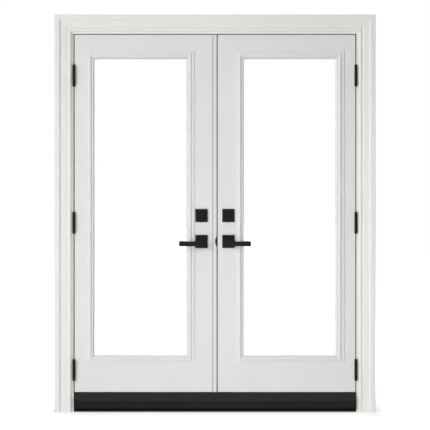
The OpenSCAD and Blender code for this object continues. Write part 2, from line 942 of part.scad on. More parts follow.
module right_core() {
    color(foam) active_cut() core();
}

module right_lite_out() {
    color(white_paint) lite();
}

module right_lite_in() {
    color(white_paint) flip_face() lite();
}

module right_panes() {
    color(clear_glass) panes();
}

module right_spacer() {
    color(bare_metal) spacer();
}

module right_hinge_plates() {
    color(black_metal) hinge_plates();
}

module right_sweep() {
    color(dark_rubber) sweep();
}

module right_lever_roses() {
    color(black_metal) {
        rose(z_lever, neck_r + run);
        flip_face() rose(z_lever, neck_r + run);
    }
}

module right_deadbolt_roses() {
    color(black_metal) {
        keyed_rose(plug_r + run);
        flip_face() rose(z_bolt, turn_neck_r + run);
    }
}

// round bodies that fill the cross bores and carry the spindle and the tailpiece
module lock_chassis() {
    color(bare_metal) {
        difference() {
            bar_y(x_trim, 0, leaf_t, z_lever, cross_bore_r);
            bar_y(x_trim, -over, leaf_t + over, z_lever, spindle_r + run);
        }
        difference() {
            bar_y(x_trim, 0, leaf_t, z_bolt, cross_bore_r);
            bar_y(x_trim, -over, leaf_t + over, z_bolt, tail_r + run);
        }
    }
}

// tube in an edge bore that guides a bolt, trimmed to the round body behind it
module bolt_case(z, bolt_r) {
    difference() {
        bar_x(x_lock, x_lock + case_len + cross_bore_r / 2, y_mid, z, edge_bore_r);
        bar_x(x_lock - over, x_trim, y_mid, z, bolt_r + run);
        bar_y(x_trim, -over, leaf_t + over, z, cross_bore_r);
    }
}

module latch_case() {
    color(bare_metal) bolt_case(z_lever, latch_r);
}

module deadbolt_case() {
    color(bare_metal) bolt_case(z_bolt, deadbolt_r);
}

module right_levers() {
    color(black_metal) {
        lever();
        flip_face() lever();
    }
}

module lever_spindle() {
    color(bare_metal) bar_y(x_trim, 0, leaf_t, z_lever, spindle_r);
}

// bolt with a slanted outer face, out to its full throw
bolt_back = 1.5;
module latch_bolt() {
    x_tip = x_lock - latch_throw;
    color(bare_metal) difference() {
        bar_x(x_tip, x_lock + case_len - latch_throw - bolt_back, y_mid, z_lever, latch_r);
        along_z_wedge(x_tip);
    }
}

// wedge that slants the latch from its tip back to the leaf's edge, on its inner side
module along_z_wedge(x_tip) {
    translate([0, 0, z_lever - latch_r - over]) linear_extrude(2 * (latch_r + over)) polygon([
        [x_tip - over, y_mid - latch_r / 2], [x_lock - meeting_gap, y_mid + latch_r + over],
        [x_tip - over, y_mid + latch_r + over]
    ]);
}

module key_plug() {
    color(bare_metal) bar_y(x_trim, -rose_t - collar_h, 0, z_bolt, plug_r);
}

module tailpiece() {
    color(bare_metal) bar_y(x_trim, 0, leaf_t, z_bolt, tail_r);
}

module thumb_turn() {
    color(black_metal) flip_face() turn();
}

// bolt drawn back inside its case
module deadbolt() {
    color(bare_metal) bar_x(x_lock + run, x_lock + case_len - bolt_back, y_mid, z_bolt, deadbolt_r);
}

jamb_left();
jamb_right();
head_jamb();
casing_left();
casing_right();
casing_head();
sub_sill();
sill_core();
sill_tread();
sill_dam();
sill_seal();
weatherstrips();
hinge_jamb_plates();
hinge_pins();
bolt_keepers();
left_skin_out();
left_skin_in();
left_stiles();
left_rails();
left_core();
left_lite_out();
left_lite_in();
left_panes();
left_spacer();
left_hinge_plates();
left_sweep();
astragal();
astragal_flange();
astragal_seal();
latch_strike();
deadbolt_strike();
left_lever_roses();
left_deadbolt_roses();
left_levers();
top_bolt();
bottom_bolt();
right_skin_out();
right_skin_in();
right_stiles();
right_rails();
right_core();
right_lite_out();
right_lite_in();
right_panes();
right_spacer();
right_hinge_plates();
right_sweep();
right_lever_roses();
right_deadbolt_roses();
lock_chassis();
latch_case();
deadbolt_case();
right_levers();
lever_spindle();
latch_bolt();
key_plug();
tailpiece();
thumb_turn();
deadbolt();
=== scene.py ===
import math

import bmesh
import bpy
from mathutils import Matrix, Vector


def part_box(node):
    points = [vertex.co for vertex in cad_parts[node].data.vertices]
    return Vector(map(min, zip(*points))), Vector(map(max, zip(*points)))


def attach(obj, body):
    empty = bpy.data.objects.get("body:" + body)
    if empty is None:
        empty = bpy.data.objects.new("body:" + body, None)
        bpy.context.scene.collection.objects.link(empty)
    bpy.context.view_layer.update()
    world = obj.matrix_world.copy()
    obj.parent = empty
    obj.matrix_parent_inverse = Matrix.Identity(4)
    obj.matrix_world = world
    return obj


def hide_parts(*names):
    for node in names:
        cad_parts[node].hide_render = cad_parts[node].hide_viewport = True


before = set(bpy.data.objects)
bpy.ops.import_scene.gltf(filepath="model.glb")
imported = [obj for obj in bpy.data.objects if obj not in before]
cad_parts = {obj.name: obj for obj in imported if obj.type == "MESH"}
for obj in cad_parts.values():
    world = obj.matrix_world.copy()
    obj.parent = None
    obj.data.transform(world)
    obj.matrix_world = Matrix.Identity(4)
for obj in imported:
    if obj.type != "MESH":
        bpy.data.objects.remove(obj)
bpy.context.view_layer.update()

# Jambs and head: lengths of finger-jointed pine, rebated so that a stop stands behind each leaf,
# primed and brushed white. The head is housed between the legs and screwed through them.
MM = 0.001
FRAME_WHITE = (0.852, 0.838, 0.809)
# The tones paint light and shade: the legs and the head are painted lighter and the jambs darker, as lit
# and shaded copies of one white.
UPRIGHT_LIGHT_TONE = 1.035
LEVEL_LIGHT_TONE = 1.065
JAMB_SHADE_TONE = 0.94
# Painted shade: each piece is painted darker toward the top, by this tone over these shares of the
# frame's height.
TOP_SHADE_TONE = 0.955
TOP_SHADE_FADE = ((0.70, 1.0), (0.98, 0.0))
FRAME_TALL = 2172.5 * MM
JAMB_THICK = 19.05 * MM
JAMB_EASE = 1.2 * MM
GRAIN_UP = (420.0, 420.0, 7.0)
GRAIN_ACROSS = (7.0, 420.0, 420.0)
SAME_POINT = 0.004 * MM
FLAT_ANGLE = math.radians(1.2)
SHARP_ANGLE = math.radians(34)
SMOOTH_ANGLE = math.radians(32)
ROUND_PROFILE = 0.5


class Wire:
    """A socket of a shader; sums on it add Math nodes, and make() adds any other node."""

    # Sockets of a Mix node for colours: its share, its two colours and its answer.
    MIX_SHARE = 0
    MIX_FIRST = 6
    MIX_SECOND = 7
    MIX_ANSWER = 2

    def __init__(self, tree, socket):
        self.tree = tree
        self.socket = socket

    def make(self, kind, settings, inputs, out=0):
        """Adds a node: its settings first, then the values or links of its sockets."""
        node = self.tree.nodes.new(kind)
        for key, value in settings.items():
            if key == "stops":
                ramp = node.color_ramp.elements
                while len(ramp) < len(value):
                    ramp.new(1.0)
                for stop, (place, grey) in zip(ramp, value):
                    stop.position = place
                    stop.color = (grey, grey, grey, 1)
            else:
                setattr(node, key, value)
        for key, value in inputs.items():
            if isinstance(value, Wire):
                self.tree.links.new(value.socket, node.inputs[key])
            else:
                node.inputs[key].default_value = value
        return Wire(self.tree, node.outputs[out])

    def sum_of(self, operation, first, second):
        """Adds a Math node."""
        return self.make("ShaderNodeMath", {"operation": operation}, {0: first, 1: second})

    def __add__(self, other):
        return self.sum_of("ADD", self, other)

    def __radd__(self, other):
        return self.sum_of("ADD", other, self)

    def __mul__(self, other):
        return self.sum_of("MULTIPLY", self, other)

    def __rmul__(self, other):
        return self.sum_of("MULTIPLY", other, self)

    def stretched(self, scale):
        """The place on the piece, with each axis scaled."""
        return self.make("ShaderNodeMapping", {}, {"Vector": self, "Scale": scale})

    def noise(self, scale, detail):
        """Cloudy noise from 0 to 1; the scale is in features per metre."""
        inputs = {"Vector": self, "Scale": scale, "Detail": detail}
        return self.make("ShaderNodeTexNoise", {}, inputs)

    def ramp(self, *stops):
        """A grey that follows this value through stops of (value, grey)."""
        return self.make("ShaderNodeValToRGB", {"stops": stops}, {"Fac": self})

    def spread(self, low, high):
        """Stretches the middle of a noise to the whole of 0 to 1."""
        return self.ramp((low, 0.0), (high, 1.0))

    def vector(self, operation, other=(0, 0, 0), out=0):
        """A sum of vectors; out is 1 where the answer is a number."""
        inputs = {0: self, 1: other}
        return self.make("ShaderNodeVectorMath", {"operation": operation}, inputs, out)

    def blend(self, first, second):
        """A colour between two, by this share."""
        if isinstance(first, tuple):
            first = (*first, 1)
        inputs = {self.MIX_SHARE: self, self.MIX_FIRST: first, self.MIX_SECOND: (*second, 1)}
        return self.make("ShaderNodeMix", {"data_type": "RGBA"}, inputs, self.MIX_ANSWER)

    def bump(self, depth, strength):
        """A normal from this height; depth is the height of 1, in metres."""
        inputs = {"Height": self, "Distance": depth, "Strength": strength}
        return self.make("ShaderNodeBump", {}, inputs)


class Finish:
    """A material with one Principled shader, and the place on the piece to vary it by."""

    def __init__(self, name, **constants):
        self.material = bpy.data.materials.new(name)
        self.material.use_nodes = True
        self.tree = self.material.node_tree
        self.shader = self.tree.nodes["Principled BSDF"]
        self.place = Wire(self.tree, self.tree.nodes.new("ShaderNodeTexCoord").outputs["Object"])
        for key, value in constants.items():
            self.input(key).default_value = value

    def input(self, key):
        """The shader's socket of that name, such as base_color."""
        return self.shader.inputs[key.replace("_", " ").title().replace("Ior", "IOR")]

    def vary(self, **wires):
        """Links wires to the shader's sockets."""
        for key, wire in wires.items():
            self.tree.links.new(wire.socket, self.input(key))

    def height(self, tall):
        """The height on the piece, as a share of a whole height."""
        return self.place.vector("DOT_PRODUCT", (0, 0, 1 / tall), out=1)


def shade(colour, share):
    """The colour, darker or lighter by a share."""
    return tuple(part * share for part in colour)


def painted_wood(name, grain, light_tone):
    """Brushed white paint with faint brush lines along the grain; its light tone paints the piece
    lighter or darker, and it is painted darker toward the top as shade.
    """
    finish = Finish(name, specular_ior_level=0.3)
    white = shade(FRAME_WHITE, light_tone)
    # Painted shade: darker toward the top of the frame.
    out_of_top_shade = finish.height(FRAME_TALL).ramp(*TOP_SHADE_FADE)
    brush = finish.place.stretched(grain).noise(scale=1.0, detail=4.0)
    cloud = finish.place.noise(scale=7.0, detail=3.0).spread(low=0.35, high=0.68)
    finish.vary(
        base_color=(out_of_top_shade * (0.8 + cloud * 0.2)).blend(shade(white, TOP_SHADE_TONE), white),
        roughness=0.48 + brush * 0.12 + cloud * 0.05,
        normal=brush.bump(depth=0.35 * MM, strength=0.35),
    )
    return finish


def weigh_normals(mesh):
    """Lets broad faces lead the normals, so that a flat face beside a rounded edge still looks flat."""
    facing = [face.normal.copy() for face in mesh.polygons]
    areas = [face.area for face in mesh.polygons]
    around = [[] for vert in mesh.vertices]
    for face in mesh.polygons:
        for vert in face.vertices:
            around[vert].append(face.index)
    least = math.cos(SMOOTH_ANGLE)
    normals = []
    for face in mesh.polygons:
        for vert in face.vertices:
            total = Vector()
            for other in around[vert]:
                if facing[other].dot(facing[face.index]) > least:
                    total += facing[other] * areas[other]
            normals.append(total.normalized())
    mesh.normals_split_custom_set(normals)


def piece_from(name, shape, finish, body, nodes=()):
    """Makes a bmesh a piece of the object, which stands for the CAD nodes that are named."""
    mesh = bpy.data.meshes.new(name)
    shape.to_mesh(mesh)
    shape.free()
    mesh.shade_smooth()
    mesh.set_sharp_from_angle(angle=SMOOTH_ANGLE)
    weigh_normals(mesh)
    mesh.materials.append(finish.material)
    piece = bpy.data.objects.new(name, mesh)
    bpy.context.scene.collection.objects.link(piece)
    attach(piece, body)
    if nodes:
        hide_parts(*nodes)


def solid_of(node):
    """A CAD node's shape with its triangles joined up again into whole faces."""
    shape = bmesh.new()
    shape.from_mesh(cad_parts[node].data)
    bmesh.ops.remove_doubles(shape, verts=shape.verts, dist=SAME_POINT)
    bmesh.ops.dissolve_limit(shape, angle_limit=FLAT_ANGLE, verts=shape.verts, edges=shape.edges)
    return shape


def ease(shape, radius, segments=2):
    """Rounds the sharp edges of a shape."""
    sharp = []
    for edge in shape.edges:
        if edge.is_manifold and abs(edge.calc_face_angle(0)) > SHARP_ANGLE:
            sharp.append(edge)
    bmesh.ops.bevel(
        shape, geom=sharp, offset=radius, segments=segments, affect="EDGES", profile=ROUND_PROFILE,
        material=-1, clamp_overlap=True,
    )
    return shape


def eased(node, radius, finish, body, segments=2, cut=None):
    """The CAD node again, with its edges rounded as a real piece's are, once any cut is made in it."""
    shape = solid_of(node)
    if cut:
        cut(shape)
    piece_from("eased_" + node, ease(shape, radius, segments), finish, body, [node])


upright_paint = painted_wood("brushed_white_upright", GRAIN_UP, UPRIGHT_LIGHT_TONE)
level_paint = painted_wood("brushed_white_level", GRAIN_ACROSS, LEVEL_LIGHT_TONE)
jamb_paint = painted_wood("brushed_white_jamb", GRAIN_UP, JAMB_SHADE_TONE)
for side in ("left", "right"):
    eased("jamb_" + side, JAMB_EASE, jamb_paint, "frame")
eased("head_jamb", JAMB_EASE, level_paint, "frame")

# Casing: a moulded white length on each jamb and over the head, with an ogee and a raised back band.
# The three meet in mitres and are nailed to the outer edges of the jambs; the nail holes are filled.
CASING_EASE = 0.5 * MM
CUT_NEAR = 0.004
CASING_CUTS = (
    (0.115, 0.565, 0.575), (0.15, 0.56, 0.58), (0.185, 0.53, 0.57), (0.215, 0.48, 0.44),
    (0.232, 0.445, 0.33), (0.25, 0.44, 0.32), (0.28, 0.465, 0.44), (0.33, 0.495, 0.52),
    (0.40, 0.525, 0.54), (0.48, 0.55, 0.555), (0.56, 0.57, 0.57), (0.62, 0.585, 0.58),
    (0.655, 0.60, 0.588),
)
NAIL_FILL_R = 2.2 * MM
NAIL_FILL_RISE = 0.25 * MM
NAIL_FILL_PARTS = (14, 8)
NAIL_AT = 0.87
NAILS_UP = 6
NAILS_UP_TO = 0.9375
NAILS_ACROSS = 4
OUTWARD = (0, -1, 0)

leg_low, leg_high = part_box("casing_right")
head_low, head_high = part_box("casing_head")


def recut(shape, rise, across, cuts):
    """Cuts a moulding crisper; a cut is (share across it, share of its rise, the new share)."""
    for vert in shape.verts:
        share = across(vert.co)
        for place, had, wanted in cuts:
            if abs(share - place) < CUT_NEAR and abs(vert.co.y + had * rise) < CUT_NEAR * rise:
                vert.co.y = -wanted * rise
                break


def cut_leg(shape):
    """Cuts a leg of the casing, from its inner edge outward."""
    wide = leg_high.x - leg_low.x
    recut(shape, -leg_low.y, lambda co: (abs(co.x) - leg_low.x) / wide, CASING_CUTS)


def cut_head(shape):
    """Cuts the head of the casing, from its lower edge upward."""
    wide = head_high.z - head_low.z
    recut(shape, -head_low.y, lambda co: (co.z - head_low.z) / wide, CASING_CUTS)


for side in ("left", "right"):
    eased("casing_" + side, CASING_EASE, upright_paint, "frame", cut=cut_leg)
eased("casing_head", CASING_EASE, level_paint, "frame", cut=cut_head)


def aimed(place, axis):
    """The matrix that puts a piece drawn along Z at a place, pointing along an axis."""
    return Matrix.Translation(place) @ Vector(axis).to_track_quat("Z", "Y").to_matrix().to_4x4()


def add_dome(shape, place, axis, radius, rise, parts):
    """Adds a low dome on a face that looks along an axis; its parts are those round it and up it."""
    matrix = aimed(place, axis) @ Matrix.Diagonal((1, 1, rise / radius, 1))
    bmesh.ops.create_uvsphere(
        shape, u_segments=parts[0], v_segments=parts[1], radius=radius, matrix=matrix,
    )


def even_row(first, last, count):
    """Even places along a side, half a pitch in from its ends."""
    return [first + (last - first) * (step + 0.5) / count for step in range(count)]


nail_x = leg_low.x + NAIL_AT * (leg_high.x - leg_low.x)
nail_z = head_low.z + NAIL_AT * (head_high.z - head_low.z)
nails = []
for z in even_row(0.0, leg_high.z * NAILS_UP_TO, NAILS_UP):
    nails += [(nail_x, leg_low.y, z), (-nail_x, leg_low.y, z)]
for x in even_row(-nail_x, nail_x, NAILS_ACROSS):
    nails.append((x, head_low.y, nail_z))
fills = bmesh.new()
for nail in nails:
    add_dome(fills, nail, OUTWARD, NAIL_FILL_R, NAIL_FILL_RISE, NAIL_FILL_PARTS)
piece_from("nail_fills", fills, upright_paint, "frame")

# Sill: an extruded black tread with an overhanging lip and a leaning riser, on a composite core and a
# recessed base strip. Painted light greys the leaning riser, painted shade darkens the lip's underside
# and a line below the riser, and the foot of the base strip is painted lighter as light from the floor;
# random dust speckles the tread. The dam behind the leaves carries a bulb seal.
SILL_BLACK = (0.004, 0.004, 0.0038)
SILL_DUST_AND_LIGHT = (0.022, 0.022, 0.0206)
SILL_TALL = 104.0 * MM
# Shares of the sill's height and the painted light there: painted shade under the lip and in a line
# below the riser, painted light on the leaning riser and at the top.
SILL_PAINTED_LIGHT = (
    (0.188, 0.05), (0.20, 0.30), (0.44, 0.30), (0.49, 0.22),
    (0.545, 0.22), (0.60, 0.74), (0.93, 0.74), (1.0, 0.98),
)
BASE_BLACK = (0.0025, 0.0025, 0.0025)
BASE_BOUNCE_LIT = (0.027, 0.027, 0.026)
BASE_TALL = 18.0 * MM
BASE_BOUNCE_LIGHT = ((0.36, 1.0), (0.46, 0.0))
SILL_EASE = 0.7 * MM
COMPOSITE = (0.075, 0.07, 0.065)

sill_black = Finish("black_extrusion", specular_ior_level=0.1)
drawn = sill_black.place.stretched((3.0, 900.0, 900.0)).noise(scale=1.0, detail=3.0)
dust = sill_black.place.noise(scale=26.0, detail=5.0).spread(low=0.46, high=0.75)
# Painted light and shade by height, mixed with the random dust.
painted_light = sill_black.height(SILL_TALL).ramp(*SILL_PAINTED_LIGHT)
sill_black.vary(
    base_color=(painted_light * (0.82 + drawn * 0.18 + dust * 0.2)).blend(SILL_BLACK, SILL_DUST_AND_LIGHT),
    roughness=0.42 + drawn * 0.12 + dust * 0.10,
    normal=drawn.bump(depth=0.2 * MM, strength=0.4),
)
base_black = Finish("black_base_strip", specular_ior_level=0.04)
scuff = base_black.place.stretched((20.0, 60.0, 300.0)).noise(scale=1.0, detail=4.0)
scuff = scuff.spread(low=0.4, high=0.75)
# Painted light: the lowest part of the base strip is lighter, as if lit from the floor.
floor_bounce = base_black.height(BASE_TALL).ramp(*BASE_BOUNCE_LIGHT)
base_black.vary(
    base_color=floor_bounce.blend(scuff.blend(BASE_BLACK, shade(BASE_BLACK, 2.2)), BASE_BOUNCE_LIT),
    roughness=0.62 + scuff * 0.18,
    normal=scuff.bump(depth=0.25 * MM, strength=0.4),
)
sill_composite = Finish("grey_composite")
chip = sill_composite.place.noise(scale=420.0, detail=3.0)
sill_composite.vary(
    base_color=chip.blend(shade(COMPOSITE, 0.7), shade(COMPOSITE, 1.3)),
    roughness=0.62 + chip * 0.2,
    normal=chip.bump(depth=0.3 * MM, strength=0.4),
)
for node in ("sill_tread", "sill_dam"):
    eased(node, SILL_EASE, sill_black, "frame")
eased("sub_sill", SILL_EASE, base_black, "frame")
eased("sill_core", SILL_EASE, sill_composite, "frame")

# Seals: a foam bulb in a thin black skin on each stop, on the dam and on the astragal's flange,
# and a finned strip under each leaf. They are glued to the faces that they lie on.
SEAL_BLACK = (0.009, 0.009, 0.0095)
SEAL_EASE = 0.6 * MM

seal_skin = Finish("seal_skin", specular_ior_level=0.1)
pores = seal_skin.place.noise(scale=1500.0, detail=2.0)
bloom = seal_skin.place.noise(scale=30.0, detail=3.0).spread(low=0.4, high=0.7)
seal_skin.vary(
    base_color=bloom.blend(SEAL_BLACK, shade(SEAL_BLACK, 1.9)),
    roughness=0.55 + pores * 0.25,
    normal=pores.bump(depth=0.12 * MM, strength=0.5),
)
seals = (
    ("sill_seal", "frame"), ("weatherstrips", "frame"), ("left_sweep", "left_leaf"),
    ("right_sweep", "right_leaf"), ("astragal_seal", "left_leaf"),
)
for node, body in seals:
    eased(node, SEAL_EASE, seal_skin, body)

# Gap fins: black rubber lips in the gaps beside and above the leaves, set near the front, with toes
# over the faces beside the gaps, as painted shade that darkens the gaps; the left toes reach further.
# They are glued to the jambs, the head and the active leaf's meeting edge. Those on the jambs stop at
# the hinges, and the one on the head at the keeper of the flush bolt.
FIN_FRONT = 2.0 * MM
FIN_DEEP = 9.0 * MM
FIN_CLEAR = 0.35 * MM
HEAD_CLEAR = 3.0 * MM
HEAD_SHADE_TOE = 0.1 * MM
FIN_TIP = 6.0 * MM
# Toes of the lips over the faces beside the gaps, as painted shade; the left toe is the wider.
JAMB_SHADE_TOES = {-1: 1.5 * MM, 1: 0.15 * MM}
MEETING_SHADE_TOE = 1.2 * MM
FIN_PROUD = 0.3 * MM
MEETING_REACH = 3.5 * MM
HARDWARE_CLEAR = 3.0 * MM
HINGE_TALL = 101.6 * MM
HEIGHT_DIGITS = 5


def drawn_out(shape, outline, run):
    """A closed outline drawn out along a run into a bar with flat ends."""
    end = shape.faces.new([shape.verts.new(corner) for corner in outline])
    moved = bmesh.ops.extrude_face_region(shape, geom=[end])["geom"]
    far = [part for part in moved if isinstance(part, bmesh.types.BMVert)]
    bmesh.ops.translate(shape, vec=run, verts=far)


def fin_outline(root, tip, shade_toe, at):
    """A lip's section with a toe of painted shade on the face beside the gap; at(across, y) places a
    point, from its root to its tip.
    """
    back = FIN_FRONT + FIN_DEEP
    middle = FIN_FRONT + FIN_DEEP / 2
    return [
        at(root + shade_toe, -FIN_PROUD), at(root, -FIN_PROUD), at(tip, middle - FIN_TIP / 2),
        at(tip, middle + FIN_TIP / 2), at(root, back), at(root, FIN_PROUD), at(root + shade_toe, FIN_PROUD),
    ]


def stretches(low, high, blocks):
    """The lengths from low to high that are left between the blocked ones."""
    spans = []
    for start, end in sorted(blocks):
        spans.append((low, start - HARDWARE_CLEAR))
        low = end + HARDWARE_CLEAR
    return spans + [(low, high)]


def hinge_heights():
    """The middles of the three hinges, from the pins."""
    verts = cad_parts["hinge_pins"].data.vertices
    groups = []
    for z in sorted({round(vert.co.z, HEIGHT_DIGITS) for vert in verts}):
        if groups and z - groups[-1][-1] < 2 * HINGE_TALL:
            groups[-1].append(z)
        else:
            groups.append([z])
    return [(group[0] + group[-1]) / 2 for group in groups]


hinge_z = hinge_heights()
jamb_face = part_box("jamb_right")[1].x - JAMB_THICK
head_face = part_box("head_jamb")[1].z - JAMB_THICK
leaf_low, leaf_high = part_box("right_skin_out")
tread_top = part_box("sill_tread")[1].z
fins = bmesh.new()
hinge_spans = [(z - HINGE_TALL / 2, z + HINGE_TALL / 2) for z in hinge_z]
jamb_tip = leaf_high.x + FIN_CLEAR
for way, shade_toe in JAMB_SHADE_TOES.items():
    for start, end in stretches(tread_top, head_face, hinge_spans):
        lip = fin_outline(jamb_face, jamb_tip, shade_toe, lambda x, y: (way * x, y, start))
        drawn_out(fins, lip, (0, 0, end - start))
head_tip = leaf_high.z + HEAD_CLEAR
keeper_low, keeper_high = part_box("bolt_keepers")
for start, end in stretches(-leaf_high.x, leaf_high.x, [(keeper_low.x, keeper_high.x)]):
    lip = fin_outline(head_face, head_tip, HEAD_SHADE_TOE, lambda z, y: (start, y, z))
    drawn_out(fins, lip, (end - start, 0, 0))
bmesh.ops.recalc_face_normals(fins, faces=fins.faces)
piece_from("frame_gap_shade_fins", fins, seal_skin, "frame")

meeting_fin = bmesh.new()
meeting_tip = leaf_low.x - MEETING_REACH
lip = fin_outline(leaf_low.x, meeting_tip, MEETING_SHADE_TOE, lambda x, y: (x, y, leaf_low.z))
drawn_out(meeting_fin, lip, (0, 0, leaf_high.z - leaf_low.z))
bmesh.ops.recalc_face_normals(meeting_fin, faces=meeting_fin.faces)
piece_from("meeting_gap_shade_fin", meeting_fin, seal_skin, "right_leaf")

# Leaves: two folded sheets of galvanised steel on a timber rim, foamed together, baked white.
# The folds leave a strip of the timber bare in the middle of each long edge.
DOOR_WHITE = (0.80, 0.798, 0.785)
SHEET_EASE = 0.2 * MM
TIMBER = (0.56, 0.40, 0.22)
FOAM = (0.70, 0.62, 0.40)

baked_white = Finish("baked_white_steel", specular_ior_level=0.3)
peel = baked_white.place.noise(scale=520.0, detail=2.0)
wave = baked_white.place.noise(scale=5.0, detail=2.0).spread(low=0.3, high=0.7)
baked_white.vary(
    base_color=wave.blend(shade(DOOR_WHITE, 0.985), DOOR_WHITE),
    roughness=0.48 + peel * 0.10 + wave * 0.04,
    normal=peel.bump(depth=0.10 * MM, strength=0.30),
)
timber = Finish("planed_pine", specular_ior_level=0.3)
rings = timber.place.stretched((160.0, 160.0, 4.0)).noise(scale=1.0, detail=5.0)
rings = rings.spread(low=0.32, high=0.70)
timber.vary(
    base_color=rings.blend(shade(TIMBER, 0.72), TIMBER),
    roughness=0.55 + rings * 0.15,
    normal=rings.bump(depth=0.25 * MM, strength=0.5),
)
foamed = Finish("rigid_foam")
cells = foamed.place.noise(scale=700.0, detail=3.0)
foamed.vary(
    base_color=cells.blend(shade(FOAM, 0.8), FOAM),
    roughness=0.8 + cells * 0.15,
    normal=cells.bump(depth=0.5 * MM, strength=0.6),
)


def dressed(node, finish):
    """Gives a CAD node that stays as it is a finish of its own."""
    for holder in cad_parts[node].material_slots:
        holder.material = finish.material


for side in ("left", "right"):
    for face in ("_skin_out", "_skin_in"):
        eased(side + face, SHEET_EASE, baked_white, side + "_leaf")
    dressed(side + "_stiles", timber)
    dressed(side + "_rails", timber)
    dressed(side + "_core", foamed)

# Glazing: a sealed unit of two clear panes on a white spacer, held between two moulded white frames.
# The frames are screwed to each other through the inner one, and caps hide the screws.
LITE_WHITE = (0.805, 0.803, 0.79)
LITE_FACE = 46.0 * MM
LITE_RISE = 11.5 * MM
LITE_EASE = 0.35 * MM
LITE_CUTS = (
    (0.0, 0.34, 0.06), (0.03, 0.41, 0.44), (0.17, 0.44, 0.47), (0.28, 0.46, 0.44),
    (0.34, 0.62, 0.57), (0.56, 0.99, 1.0), (0.61, 0.88, 0.93), (0.66, 0.66, 0.70),
    (0.70, 0.50, 0.36), (0.73, 0.46, 0.18), (0.86, 0.43, 0.34), (0.885, 0.38, 0.15),
    (0.91, 0.18, -0.06), (0.95, -0.15, -0.40), (1.0, -0.5, -0.8),
)
CAP_R = 4.2 * MM
CAP_RISE = 0.9 * MM
CAP_PARTS = (20, 10)
CAP_SEAT = 0.36
CAPS_UP = 6
CAPS_ACROSS = 3
CAP_SHARE = 0.16
INWARD = (0, 1, 0)
SPACER_WHITE = (0.82, 0.82, 0.81)
GLASS_CLEAR = (1.0, 1.0, 1.0)
GLASS_TINT = (0.985, 0.995, 0.99)
GLASS_SOLID = 0.35

moulded_white = Finish("moulded_white", specular_ior_level=0.3)
stipple = moulded_white.place.noise(scale=1400.0, detail=2.0)
flow = moulded_white.place.noise(scale=9.0, detail=2.0).spread(low=0.3, high=0.7)
moulded_white.vary(
    base_color=flow.blend(shade(LITE_WHITE, 0.985), LITE_WHITE),
    roughness=0.46 + stipple * 0.14,
    normal=stipple.bump(depth=0.06 * MM, strength=0.35),
)
clear_glass = Finish("clear_glass", transmission_weight=1.0, ior=1.45, alpha=GLASS_SOLID)
smear = clear_glass.place.stretched((3.0, 3.0, 9.0)).noise(scale=1.0, detail=4.0)
smear = smear.spread(low=0.5, high=0.8)
clear_glass.vary(base_color=smear.blend(GLASS_CLEAR, GLASS_TINT), roughness=smear * 0.012)
spacer_white = Finish("white_spacer", specular_ior_level=0.3)
rolled = spacer_white.place.stretched((60.0, 900.0, 60.0)).noise(scale=1.0, detail=2.0)
spacer_white.vary(
    base_color=rolled.blend(shade(SPACER_WHITE, 0.9), SPACER_WHITE),
    roughness=0.45 + rolled * 0.2,
    normal=rolled.bump(depth=0.05 * MM, strength=0.3),
)


def lite_cut(low, high):
    """A cut for an outer lite frame between two corners, from its outer edge to the glass."""
    def inward(co):
        return min(co.x - low.x, high.x - co.x, co.z - low.z, high.z - co.z) / LITE_FACE

    return lambda shape: recut(shape, LITE_RISE, inward, LITE_CUTS)


for side in ("left", "right"):
    leaf = side + "_leaf"
    outer_cut = lite_cut(*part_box(side + "_lite_out"))
    eased(side + "_lite_out", LITE_EASE, moulded_white, leaf, cut=outer_cut)
    eased(side + "_lite_in", LITE_EASE, moulded_white, leaf)
    low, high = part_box(side + "_lite_in")
    face_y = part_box(side + "_skin_in")[1].y
    inset = CAP_SHARE * LITE_FACE
    seat = face_y + (high.y - face_y) * CAP_SEAT
    caps = []
    for x in (low.x + inset, high.x - inset):
        caps += [(x, seat, z) for z in even_row(low.z, high.z, CAPS_UP)]
    for z in (low.z + inset, high.z - inset):
        caps += [(x, seat, z) for x in even_row(low.x, high.x, CAPS_ACROSS)]
    plugs = bmesh.new()
    for cap in caps:
        add_dome(plugs, cap, INWARD, CAP_R, CAP_RISE, CAP_PARTS)
    piece_from(side + "_screw_caps", plugs, moulded_white, leaf)
    dressed(side + "_panes", clear_glass)
    dressed(side + "_spacer", spacer_white)

# Astragal: a T-shaped strip screwed to the passive leaf's meeting edge, painted with it. Its flange
# laps behind the active leaf and carries a seal, and a grey strip in the seam beside the leaf is
# painted shade that darkens the seam's line.
ASTRAGAL_EASE = 1.0 * MM
SEAM_WIDE = 2.4 * MM
SEAM_DEEP = 7.0 * MM
SEAM_SHADE_SECTION = ((0.0, 1.0), (0.0, 0.34), (0.25, 0.24), (0.75, 0.24), (1.0, 0.34), (1.0, 1.0))
SEAM_SHADE_GREY = (0.17, 0.17, 0.165)

strip_paint = Finish("baked_white_strip", specular_ior_level=0.3)
grainy = strip_paint.place.stretched((300.0, 300.0, 12.0)).noise(scale=1.0, detail=3.0)
strip_paint.vary(
    base_color=grainy.blend(shade(DOOR_WHITE, 0.98), DOOR_WHITE),
    roughness=0.48 + grainy * 0.12,
    normal=grainy.bump(depth=0.12 * MM, strength=0.3),
)
for node in ("astragal", "astragal_flange"):
    eased(node, ASTRAGAL_EASE, strip_paint, "left_leaf")
